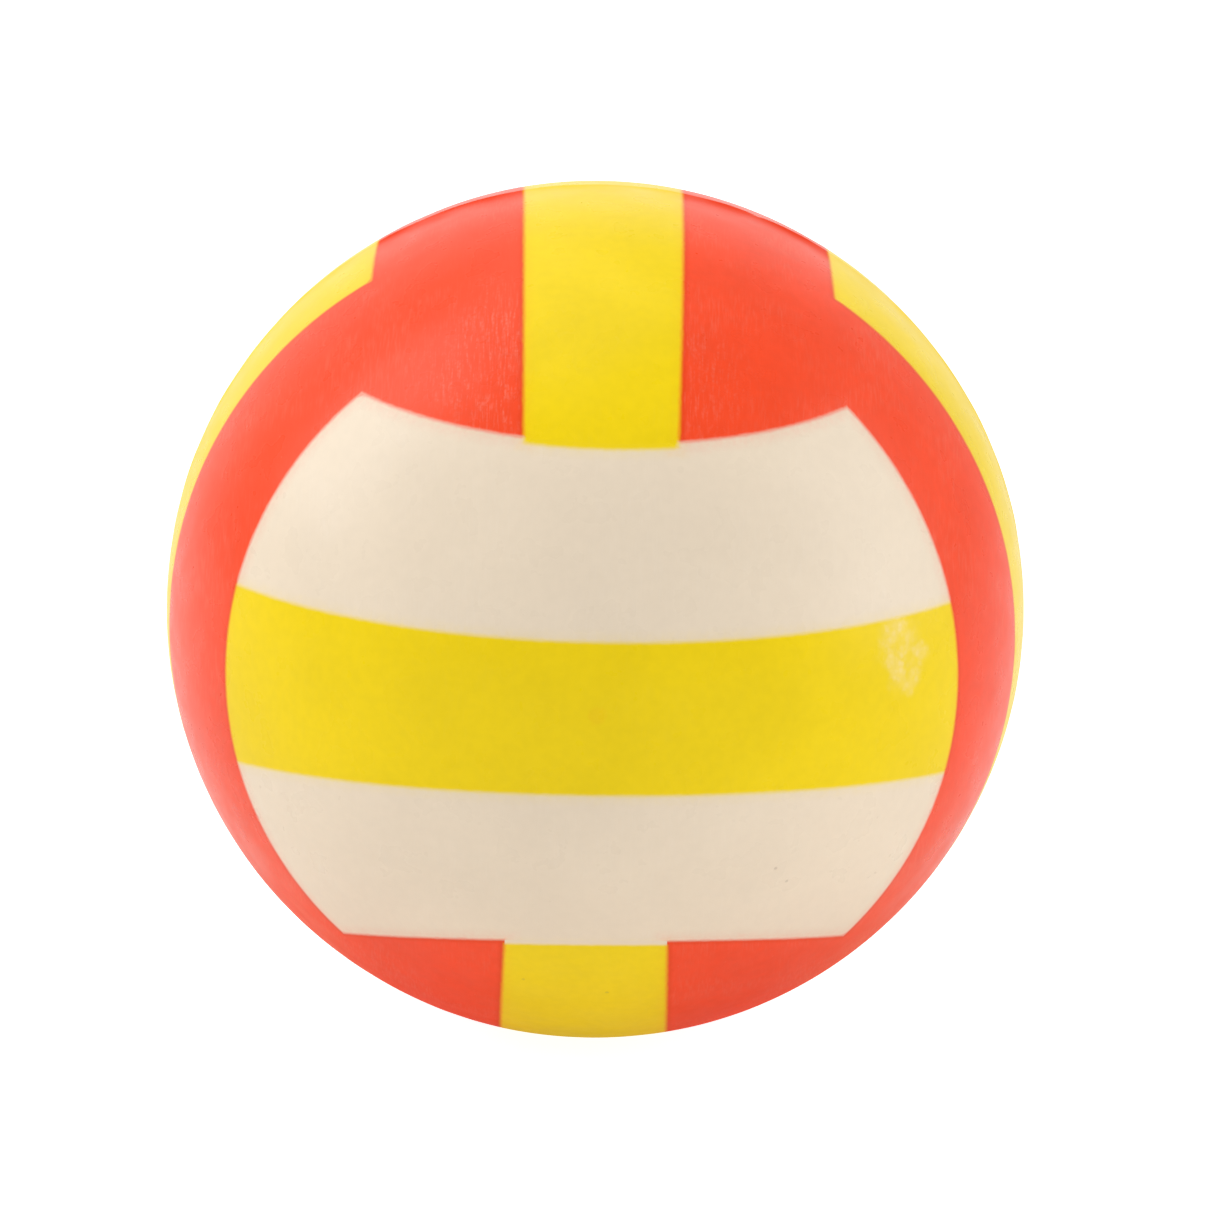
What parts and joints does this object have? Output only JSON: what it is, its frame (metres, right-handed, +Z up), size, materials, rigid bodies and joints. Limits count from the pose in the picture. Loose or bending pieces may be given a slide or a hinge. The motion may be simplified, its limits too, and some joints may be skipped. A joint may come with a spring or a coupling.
{
  "type": "stress ball",
  "caption": "Round soft foam stress ball coloured like a volleyball, which flattens when squeezed and springs back.",
  "frame": {"origin": "the ball's centre", "axes": "+Z up through the crown, +X right, -Y towards the front face, whose strips run along X"},
  "size_m": [0.063, 0.063, 0.0627],
  "materials": {
    "foam": "open-cell polyurethane foam",
    "cream_skin": "satin paint on moulded foam skin",
    "yellow_skin": "satin paint on moulded foam skin",
    "red_skin": "satin paint on moulded foam skin"
  },
  "bodies": {
    "ball": {"foam_core": "foam", "front_upper_strip": "cream_skin", "front_middle_strip": "yellow_skin", "front_lower_strip": "cream_skin", "back_upper_strip": "cream_skin", "back_middle_strip": "yellow_skin", "back_lower_strip": "cream_skin", "left_front_strip": "red_skin", "left_middle_strip": "yellow_skin", "left_back_strip": "red_skin", "right_front_strip": "red_skin", "right_middle_strip": "yellow_skin", "right_back_strip": "red_skin", "base_right_strip": "red_skin", "base_middle_strip": "yellow_skin", "base_left_strip": "red_skin"},
    "crown": {"crown_right_strip": "red_skin", "crown_middle_strip": "yellow_skin", "crown_left_strip": "red_skin"}
  },
  "joints": [
    {"name": "squeeze", "type": "slide", "parent": "ball", "child": "crown", "axis": [0, 0, -1], "range_m": [0, 0.023], "stiffness_N_per_m": 2400, "deforming": ["foam_core"]}
  ]
}
